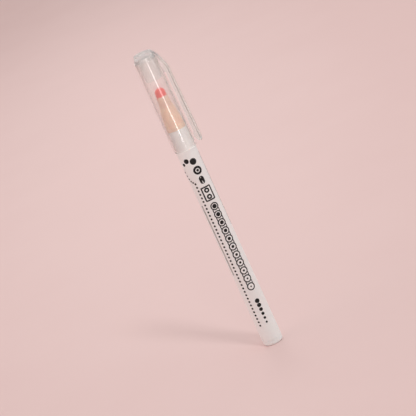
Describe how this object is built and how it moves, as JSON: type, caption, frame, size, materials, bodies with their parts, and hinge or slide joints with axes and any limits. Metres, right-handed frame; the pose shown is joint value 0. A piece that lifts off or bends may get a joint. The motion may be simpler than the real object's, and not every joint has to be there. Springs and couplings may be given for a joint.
{
  "type": "capped dot marker pen",
  "caption": "Slim fibre-tip marker pen with a soft round nib in a tapered nose, a white barrel and a clear push-on cap with a side clip.",
  "frame": {"origin": "centre of the tail plug's flat end face", "axes": "+Z along the pen's axis towards the cap, +X towards the clip, +Y away from the side that faces the viewer"},
  "size_m": [0.0138, 0.0104, 0.14],
  "materials": {
    "barrel_white": "satin white polypropylene with black printed dots and rules",
    "tail_plug_white": "satin white polypropylene, slightly translucent",
    "reservoir_fibre": "bundled polyester fibre soaked with red ink",
    "reservoir_film": "thin wrapped film",
    "front_section_peach": "translucent polypropylene that shows the inked wick through it",
    "nib_sleeve_peach": "translucent polypropylene that shows the inked wick through it",
    "nib_felt": "soft sintered fibre soaked with red ink",
    "wick_fibre": "bonded fibre rod soaked with red ink",
    "cap_clear": "clear glossy polypropylene",
    "cap_head_clear": "clear glossy polypropylene, slightly frosted"
  },
  "bodies": {
    "pen": {"barrel": "barrel_white", "tail_plug": "tail_plug_white", "reservoir_fibre": "reservoir_fibre", "reservoir_film": "reservoir_film", "front_section": "front_section_peach", "nib_sleeve": "nib_sleeve_peach"},
    "nib": {"nib_tip": "nib_felt", "nib_wick": "wick_fibre"},
    "cap": {"cap_tube": "cap_clear", "cap_head": "cap_head_clear"},
    "clip": {"clip_arm": "cap_head_clear"}
  },
  "joints": [
    {"name": "cap_pull", "type": "slide", "parent": "pen", "child": "cap", "axis": [0, 0, 1], "range_m": [0, 0.05]},
    {"name": "clip_flex", "type": "hinge", "parent": "cap", "child": "clip", "pos_m": [0.0081, 0, 0.129], "axis": [0, -1, 0], "range_deg": [0, 4], "stiffness_Nm_per_rad": 1.4},
    {"name": "nib_press", "type": "slide", "parent": "pen", "child": "nib", "axis": [0, 0, -1], "range_m": [0, 0.0005], "stiffness_N_per_m": 1500}
  ]
}
